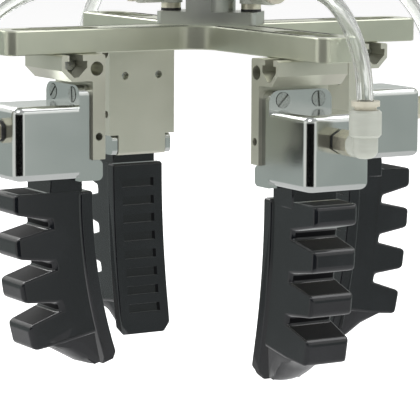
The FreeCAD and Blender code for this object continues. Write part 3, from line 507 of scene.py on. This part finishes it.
def add_strip(made, unit):
    runs = [0.0]
    for middle in POCKETS:
        runs += [middle - POCKET_HEIGHT / 2, middle + POCKET_HEIGHT / 2]
    runs.append(STRIP_CORNER)
    face = [(0.0, run, STRIP_HALF) for run in runs]
    end = [(0.5, STRIP_END, END_HALF), (STRIP_DEPTH, STRIP_END, END_HALF)]
    back = [(STRIP_DEPTH, run, STRIP_HALF) for run in reversed(runs)]
    rib = face + end + back
    share = POCKET_HALF / STRIP_HALF
    along = [0.0] * len(rib)
    along[0], along[-1], along[len(runs) - 1] = 0.5, 0.9, 0.3
    flank = [0.35] * (len(rib) - 1) + [0.5]
    strips = hull(made, unit, [(s, rib) for s in (-1, -share, share, 1)], along, flank)
    for k, middle in enumerate(POCKETS):
        floor = strips[1][1 + 2 * k]
        made_floor = bmesh.ops.extrude_discrete_faces(made, faces=[floor])["faces"][0]
        for edge in made_floor.edges:
            # Painted shade: the pocket's walls get the darker rubber, and its floor keeps the
            # glossy one.
            for wall in edge.link_faces:
                wall.material_index = int(wall != made_floor)
        for corner in made_floor.verts:
            inside = on_finger(unit, POCKET_DEPTH, middle, 0.0)
            outside = on_finger(unit, 0.0, middle, 0.0)
            corner.co += inside - outside + (outside - corner.co) * POCKET_DRAFT


# %% [markdown]
# At the root, the finger ends in a half-round bead that turns in a groove of the housing.

# %% The root bead
BEAD = (10.2, -2.5)
BEAD_RADIUS = 6.7
BEAD_HALF = 9.7
BEAD_STEPS = 16
BEAD_WEIGHT = 0.25
NECK_END = 2.5


def add_bead(made, unit):
    """The round bead that snaps into the housing, and the neck between it and the finger."""
    depth, run = BEAD
    rib = []
    for k in range(BEAD_STEPS + 1):
        turn = math.pi * k / BEAD_STEPS
        rib.append(
            (depth + BEAD_RADIUS * math.cos(turn), run - BEAD_RADIUS * math.sin(turn), BEAD_HALF)
        )
    for side in (-1, 1):
        rib.append((depth + side * BEAD_RADIUS, NECK_END, BEAD_HALF))
    hull(made, unit, [(-1, rib), (1, rib)], [0.0] * len(rib), [BEAD_WEIGHT] * len(rib))


# %% [markdown]
# The four skins of a finger share one mesh. Bevel's Harden Normals keeps the flat faces flat
# while the rounded edges between them shade smoothly. A piece that moves says which body it
# rides, and the solid that a piece stands for is hidden.

# %% Finger pieces
SHARP_TURN = 0.6  # edges that turn more than this, in radians, stay sharp

for unit in UNITS:
    made = bmesh.new()
    made.edges.layers.float.new("bevel_weight_edge")
    for add in (add_fins, add_toe, add_strip, add_bead):
        add(made, unit)
    bmesh.ops.recalc_face_normals(made, faces=made.faces)
    weight = made.edges.layers.float.get("bevel_weight_edge")
    for edge in made.edges:
        edge.smooth = edge[weight] > 0 or edge.calc_face_angle(0) < SHARP_TURN
    mesh = bpy.data.meshes.new(f"finger_skin_{unit}")
    made.to_mesh(mesh)
    made.free()
    for polygon in mesh.polygons:
        polygon.use_smooth = True
    mesh.materials.append(RUBBER)
    mesh.materials.append(PAINTED_SHADE_RUBBER)
    finger = bpy.data.objects.new(mesh.name, mesh)
    scene.collection.objects.link(finger)
    rounding = finger.modifiers.new("rounding", "BEVEL")
    rounding.width = FULL_ROUND
    rounding.segments = 5
    rounding.limit_method = "WEIGHT"
    rounding.use_clamp_overlap = False
    rounding.harden_normals = True
    rounding.material = 0
    finger.visible_glossy = False
    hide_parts(f"finger_{unit}")
    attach(finger, f"finger_{unit}")
    print(f"finger {unit}: {len(mesh.vertices)} points before rounding")

# %% [markdown]
# ## Scales on the arms
#
# Each arm has a millimetre scale on both sides of its slot, so that opposite fingers can be set
# alike. The marks are laser lines, all alike, which is a job for Geometry Nodes: a line of
# points, a thin bar on each point, and a longer bar on every tenth. The sizes are the tree's
# inputs, in metres.

# %% A row of marks
INK_COLOURS = (0.05, 0.05, 0.045), (0.03, 0.03, 0.028)
INK = moulded("laser_mark", *INK_COLOURS, 0.9, Specular_IOR_Level=0.0)
MARK_THICKNESS = 0.00004
SCALE_SIZES = {
    "Pitch": ("NodeSocketFloat", 0.001),
    "Marks": ("NodeSocketInt", 61),
    "Line": ("NodeSocketFloat", 0.0005),
    "Short": ("NodeSocketFloat", 0.0030),
    "Long": ("NodeSocketFloat", 0.0038),
    "Finish": ("NodeSocketMaterial", INK),
}
tree = bpy.data.node_groups.new("engraved_scale", "GeometryNodeTree")
for name, (kind, _) in SCALE_SIZES.items():
    tree.interface.new_socket(name, in_out="INPUT", socket_type=kind)
tree.interface.new_socket("Marks", in_out="OUTPUT", socket_type="NodeSocketGeometry")
sizes_in = tree.nodes.new("NodeGroupInput").outputs


def step(kind, links=None, **settings):
    """Adds a node to the tree. Links are by socket name: a number or another node's output."""
    made = tree.nodes.new(kind)
    for key, value in settings.items():
        setattr(made, key, value)
    for key, value in (links or {}).items():
        if isinstance(value, bpy.types.NodeSocket):
            tree.links.new(value, made.inputs[key])
        else:
            made.inputs[key].default_value = value
    return made.outputs


# %% [markdown]
# A mark's length depends on its number, so the number's remainder after ten picks it. Each
# point then moves by half a length, which lines the marks up at their outer ends.

# %% The tree
index = step("GeometryNodeInputIndex")["Index"]
tenth = step("ShaderNodeMath", {0: index, 1: 10.0}, operation="MODULO")[0]
ordinary = step("ShaderNodeMath", {0: tenth, 1: 0.5}, operation="GREATER_THAN")[0]
span = step("ShaderNodeMapRange", {0: ordinary, 3: sizes_in["Long"], 4: sizes_in["Short"]})[0]
back = step("ShaderNodeMath", {0: span, 1: -0.5}, operation="MULTIPLY")[0]
stride = step("ShaderNodeCombineXYZ", {"X": sizes_in["Pitch"]})[0]
points = step("GeometryNodeMeshLine", {"Count": sizes_in["Marks"], "Offset": stride})[0]
shift = step("ShaderNodeCombineXYZ", {"Y": back})[0]
points = step("GeometryNodeSetPosition", {"Geometry": points, "Offset": shift})[0]
bar = step("GeometryNodeMeshCube", {"Size": (1, 1, 1)})["Mesh"]
shape = step("ShaderNodeCombineXYZ", {"X": sizes_in["Line"], "Y": span, "Z": MARK_THICKNESS})[0]
bars = {"Points": points, "Instance": bar, "Scale": shape}
marks = step("GeometryNodeInstanceOnPoints", bars)[0]
marks = step("GeometryNodeRealizeInstances", {"Geometry": marks})[0]
marks = step("GeometryNodeSetMaterial", {"Geometry": marks, "Material": sizes_in["Finish"]})[0]
tree.links.new(marks, tree.nodes.new("NodeGroupOutput").inputs["Marks"])
print("nodes in the tree:", len(tree.nodes))

# %% [markdown]
# The tree runs once and its result becomes a plain mesh. Eight turned copies of that mesh, two
# for each arm, are joined into one piece that stays with the plate.

# %% Scale pieces
maker = bpy.data.objects.new("scale_maker", bpy.data.meshes.new("scale_maker"))
scene.collection.objects.link(maker)
modifier = maker.modifiers.new("scale", "NODES")
modifier.node_group = tree
for item in tree.interface.items_tree:
    if item.in_out == "INPUT":
        modifier[item.identifier] = SCALE_SIZES[item.name][1]
bpy.context.view_layer.update()
row = bpy.data.meshes.new_from_object(maker.evaluated_get(bpy.context.evaluated_depsgraph_get()))
bpy.data.objects.remove(maker)
SCALE_START = 0.015  # from the hub's axis to the first mark
SCALE_LENGTH = 0.060
SCALE_EDGE = 0.0085  # from the arm's middle to the marks' outer ends
scales = bmesh.new()
for turn in UNITS.values():
    for start, edge, way in (
        (SCALE_START, SCALE_EDGE, 0),
        (SCALE_START + SCALE_LENGTH, -SCALE_EDGE, 180),
    ):
        before = len(scales.verts)
        scales.from_mesh(row)
        scales.verts.ensure_lookup_table()
        placed = (
            Matrix.Translation((0, 0, PLATE_TOP))
            @ Matrix.Rotation(math.radians(turn), 4, "Z")
            @ Matrix.Translation((start, edge, 0))
            @ Matrix.Rotation(math.radians(way), 4, "Z")
        )
        bmesh.ops.transform(scales, matrix=placed, verts=scales.verts[before:])
mesh = bpy.data.meshes.new("arm_scales")
scales.to_mesh(mesh)
scales.free()
mesh.materials.append(INK)
marks = bpy.data.objects.new("arm_scales", mesh)
scene.collection.objects.link(marks)
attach(marks, "frame")
FACES_PER_MARK = 6
print("scale marks:", len(mesh.polygons) // FACES_PER_MARK)

# %% [markdown]
# ## Hoses
#
# Each hose is a clear polyurethane tube, 6 mm outside, pushed into a fitting at both ends. The
# route's points are the control points of one NURBS spline. Its line is read back from the
# curve without a bevel, and a round tube with a wall is drawn round it. Units a and b have the
# low fittings on the hub, and c and d the high ones.

# %% Hose routes
HOSE_RADIUS = 0.003
HOSE_WALL = 0.001
# each point: millimetres from the hub's axis, over the plate's top face, and sideways
LOW_ROUTE = [
    (21.4, 13.6, 11.2), (36.4, 13.6, 11.2), (51.5, 15.4, 9.5), (65.7, 14.9, 6.8),
    (79.5, 12.1, 4.0), (91.6, 6.0, 1.7), (100.8, -3.2, 0.4), (106.0, -15.7, 0.0),
    (106.0, -29.1, 0.0),
]
HIGH_ROUTE = [
    (22.6, 28.0, 0.0), (36.2, 28.0, 0.0), (50.2, 27.0, 0.0), (65.0, 24.0, 0.0),
    (79.2, 18.0, 0.0), (91.6, 8.6, 0.0), (101.0, -3.2, 0.0), (106.0, -15.7, 0.0),
    (106.0, -29.1, 0.0),
]


def route(unit):
    """The hose's control points, in metres."""
    side = Vector((0, 1, 0)) if unit == "a" else Vector((1, 0, 0))
    points = LOW_ROUTE if unit in "ab" else HIGH_ROUTE
    return [
        (outward(unit) * r + side * t + Vector((0, 0, z))) / 1000 + Vector((0, 0, PLATE_TOP))
        for r, z, t in points
    ]


# %% [markdown]
# A curve object turns its control points into a smooth line. Order 3 keeps the line close to
# the control points, and the endpoint setting makes it start and end on them.

# %% The line
LINE_STEPS = 12  # points of the line for each control point


def centreline(points):
    """The points along the NURBS spline that has the route as its control points."""
    curve = bpy.data.curves.new("line", "CURVE")
    curve.dimensions = "3D"
    curve.resolution_u = LINE_STEPS
    spline = curve.splines.new("NURBS")
    spline.points.add(len(points) - 1)
    for control, point in zip(spline.points, points):
        control.co = (*point, 1.0)
    spline.order_u = 3
    spline.use_endpoint_u = True
    holder = bpy.data.objects.new("line", curve)
    scene.collection.objects.link(holder)
    mesh = bpy.data.meshes.new_from_object(holder)
    line = [vertex.co.copy() for vertex in mesh.vertices]
    bpy.data.objects.remove(holder)
    return line


# %% [markdown]
# The tube is drawn as loops of points round the line, one for the outside and one for the bore.
# Each loop starts from the last one's side direction, turned as little as possible, so the tube
# doesn't twist.

# %% The tube
SIDES = 32


def tube(name, line, radius, wall):
    """A tube with a wall along the line, with rims that close both ends."""
    made = bmesh.new()
    side = (line[1] - line[0]).orthogonal().normalized()
    rings = []
    for i, point in enumerate(line):
        ahead = (line[min(i + 1, len(line) - 1)] - line[max(i - 1, 0)]).normalized()
        side = (side - ahead * side.dot(ahead)).normalized()
        other = ahead.cross(side)
        loops = []
        for reach in (radius, radius - wall):
            loop = []
            for k in range(SIDES):
                turn = 2 * math.pi * k / SIDES
                offset = side * math.cos(turn) + other * math.sin(turn)
                loop.append(made.verts.new(point + offset * reach))
            loops.append(loop)
        rings.append(loops)
    for k in range(SIDES):
        n = (k + 1) % SIDES
        for (outer, inner), (outer_next, inner_next) in zip(rings, rings[1:]):
            made.faces.new((outer[k], outer[n], outer_next[n], outer_next[k]))
            made.faces.new((inner[k], inner_next[k], inner_next[n], inner[n]))
        for (outer, inner), flip in ((rings[0], True), (rings[-1], False)):
            rim = (outer[k], outer[n], inner[n], inner[k])
            made.faces.new(rim[::-1] if flip else rim)
    mesh = bpy.data.meshes.new(name)
    bmesh.ops.recalc_face_normals(made, faces=made.faces)
    made.to_mesh(mesh)
    made.free()
    for polygon in mesh.polygons:
        polygon.use_smooth = True
    piece = bpy.data.objects.new(name, mesh)
    scene.collection.objects.link(piece)
    return piece


# %% [markdown]
# Clear polyurethane is a pale, slightly milky glass to the eye. Light passes the wall, and the
# edges look darker because the eye looks along the wall there.

# %% Hose finish
shader = Shader("clear_hose")
haze = shader.noise(240.0, detail=3.0)
HOSE = shader.set(
    Base_Color=shader.mix(haze.between(0.3, 0.7), (0.90, 0.92, 0.89), (0.95, 0.96, 0.94)),
    Roughness=haze * 0.05 + 0.06,
    Transmission_Weight=0.92,
    IOR=1.38,
)

# %% [markdown]
# A hose bends between the hub and the sliding unit. Here each tube is one fixed mesh, and the
# hose solid that it stands for is hidden.

for unit in UNITS:
    line = centreline(route(unit))
    hose = tube(f"hose_tube_{unit}", line, HOSE_RADIUS, HOSE_WALL)
    hose.data.materials.append(HOSE)
    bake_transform(hose)
    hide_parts(f"hose_{unit}")

# %% [markdown]
# ## Studio
#
# The studio is a pale floor that glows a little, a bright surround, a ring of cards and four
# soft lamps. First comes the floor. It is kept out of reflections, because a white floor would
# put thick white lower edges on the chrome.

# %% Floor
FLOOR_DROP = 0.035
FLOOR_SIZE = 30
low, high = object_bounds()
bpy.ops.mesh.primitive_plane_add(size=FLOOR_SIZE, location=(0, 0, low.z - FLOOR_DROP))
floor = bpy.context.object
floor.name = "floor"
shader = Shader("studio_floor")
mottle = shader.noise(3.0, detail=2.0)
paper = shader.set(
    Base_Color=shader.mix(mottle, (0.93, 0.93, 0.93), (0.95, 0.95, 0.95)),
    Roughness=0.9,
    Specular_IOR_Level=0.0,
    Emission_Color=(1.0, 1.0, 1.0, 1.0),
    Emission_Strength=0.5,
)
floor.data.materials.append(paper)
floor.visible_glossy = False
print("floor height", round(floor.location.z, 4))

# %% [markdown]
# The surround is brightest below, a little darker just above the horizon and lighter again
# overhead, which gives satin metal its soft gradients. Behind the camera it falls off to a dark
# patch, so that faces turned to the camera keep their depth. The world has a node tree too, so
# the helper of the scales serves again.

# %% Surround
HEIGHTS = [(0.0, 1.5), (0.46, 1.5), (0.50, 0.9), (0.62, 0.8), (0.80, 1.0)]
TO_CAMERA = (-0.507, -0.851, 0.137)
PATCH_START, PATCH_FULL, PATCH_LEVEL = 0.86, 0.95, 0.1
world = bpy.data.worlds.new("studio")
scene.world = world
world.use_nodes = True
tree = world.node_tree
direction = step("ShaderNodeTexCoord")["Generated"]
upward = step("ShaderNodeSeparateXYZ", {0: direction})["Z"]
share = step("ShaderNodeMath", {0: upward, 1: 0.5, 2: 0.5}, operation="MULTIPLY_ADD")[0]
ramp_colour = step("ShaderNodeValToRGB", {0: share})["Color"]
ramp = ramp_colour.node.color_ramp
for index, (position, level) in enumerate(HEIGHTS):
    stop = ramp.elements[0] if index == 0 else ramp.elements.new(position)
    stop.position = position
    stop.color = (level, level, level, 1.0)
facing = step("ShaderNodeVectorMath", {0: direction, 1: TO_CAMERA}, operation="DOT_PRODUCT")
patch_range = {0: facing["Value"], 1: PATCH_START, 2: PATCH_FULL, 3: 1.0, 4: PATCH_LEVEL}
patch = step("ShaderNodeMapRange", patch_range, interpolation_type="SMOOTHSTEP")[0]
BLACK = (0.0, 0.0, 0.0, 1.0)
shaded = step("ShaderNodeMix", {0: patch, 6: BLACK, 7: ramp_colour}, data_type="RGBA")[2]
background = tree.nodes["Background"]
tree.links.new(shaded, background.inputs["Color"])
background.inputs["Strength"].default_value = 0.5
print("nodes in the surround:", len(tree.nodes))

# %% [markdown]
# Polished metal shows its surroundings, so a studio puts cards round it: a wide dark one beside
# the camera draws the dark stripe down a rounded edge, and grey ones tone the flat faces down.
# Here the cards are one low ring round the object, seen by reflections alone. A bearing is
# counted in radians from the camera's side.

# %% Ring of cards
CAMERA_SIDE = math.radians(-120.8)
RING_SIZES = {"vertices": 96, "radius": 0.5, "depth": 0.46}
RING_MIDDLE = -0.05
bpy.ops.mesh.primitive_cylinder_add(
    end_fill_type="NOTHING", location=(0, 0, RING_MIDDLE), **RING_SIZES
)
ring = bpy.context.object
ring.name = "cards"
for sight in ("visible_camera", "visible_diffuse", "visible_shadow", "visible_transmission"):
    setattr(ring, sight, False)
shader = Shader("studio_cards")
turned = shader.mapped(Rotation=(0, 0, -CAMERA_SIDE))
ahead, across, height = (
    shader.node("ShaderNodeSeparateXYZ", None, {0: turned}, output=axis) for axis in range(3)
)
bearing = across.math("ARCTAN2", ahead)
dark = bearing.between(-0.95, -0.85) * (1 - bearing.between(0.38, 0.48))
flash = bearing.between(-1.62, -1.5) * (1 - bearing.between(0.72, 0.84))
strip_light = height.between(0.01, 0.06)
tone = (1 - dark) * (flash * 0.4 + 0.46) + strip_light * 0.5
tint = shader.mix(flash + strip_light, (0.91, 1.0, 0.955), (1.0, 1.0, 0.97))
cards = shader.set(
    Base_Color=BLACK,
    Specular_IOR_Level=0.0,
    Emission_Color=shader.mix(tone, (0, 0, 0), tint),
    Emission_Strength=1.0,
)
ring.data.materials.append(cards)
print("ring of cards", [round(x, 3) for x in ring.dimensions])

# %% [markdown]
# The key lamp stands left of the camera and the fill lamp right of it. Two more stand behind
# the object, and only their glints on rounded edges are seen. Powers are in watts.

# %% Lamps


def lamp(name, place, aim, size, power):
    """A soft square lamp that shines on the aim."""
    data = bpy.data.lights.new(name, "AREA")
    data.size = size
    data.energy = power
    made = bpy.data.objects.new(name, data)
    made.location = place
    made.rotation_mode = "QUATERNION"
    made.rotation_quaternion = (Vector(aim) - Vector(place)).to_track_quat("-Z", "Y")
    scene.collection.objects.link(made)
    print(f"{name}: {power} W, {size} m wide")


middle = (low + high) / 2
lamp("key", (-0.9, -0.5, 1.1), middle, 0.8, 5)
lamp("fill", (0.9, -1.1, 0.5), middle, 0.9, 2.5)
lamp("edge_right", (0.72, -0.18, 1.16), middle, 0.9, 6)
lamp("edge_back", (-0.22, 1.30, 0.72), middle, 1.0, 17)

# %% [markdown]
# ## Camera
#
# A long lens looks slightly down at the gripper from a metre away. Its direction is a bearing
# from the Y axis, a pitch below the horizon and a small roll.

# %% Camera
BEARING = math.radians(30.783)
PITCH = math.radians(7.902)
ROLL = math.radians(0.262)
SENSOR = 36
FOCAL_LENGTH = 213.55
FAR_LIMIT = 60
flat = Vector((math.sin(BEARING), math.cos(BEARING), 0))
forward = flat * math.cos(PITCH) - Vector((0, 0, math.sin(PITCH)))
level = Vector((math.cos(BEARING), -math.sin(BEARING), 0))
upright = level.cross(forward)
right = level * math.cos(ROLL) + upright * math.sin(ROLL)
up = upright * math.cos(ROLL) - level * math.sin(ROLL)
camera_data = bpy.data.cameras.new("camera")
camera_data.sensor_width = SENSOR
camera_data.lens = FOCAL_LENGTH
camera_data.clip_end = FAR_LIMIT
camera = bpy.data.objects.new("camera", camera_data)
axes = Matrix((right, up, -forward)).transposed()
place = Vector((-0.4908, -0.8239, 0.0606 + PLATE_TOP))
camera.matrix_world = Matrix.Translation(place) @ axes.to_4x4()
scene.collection.objects.link(camera)
scene.camera = camera
scene.view_settings.view_transform = "Standard"
scene.view_settings.exposure = 0.0
print("camera at", [round(x, 3) for x in place], "lens", FOCAL_LENGTH)
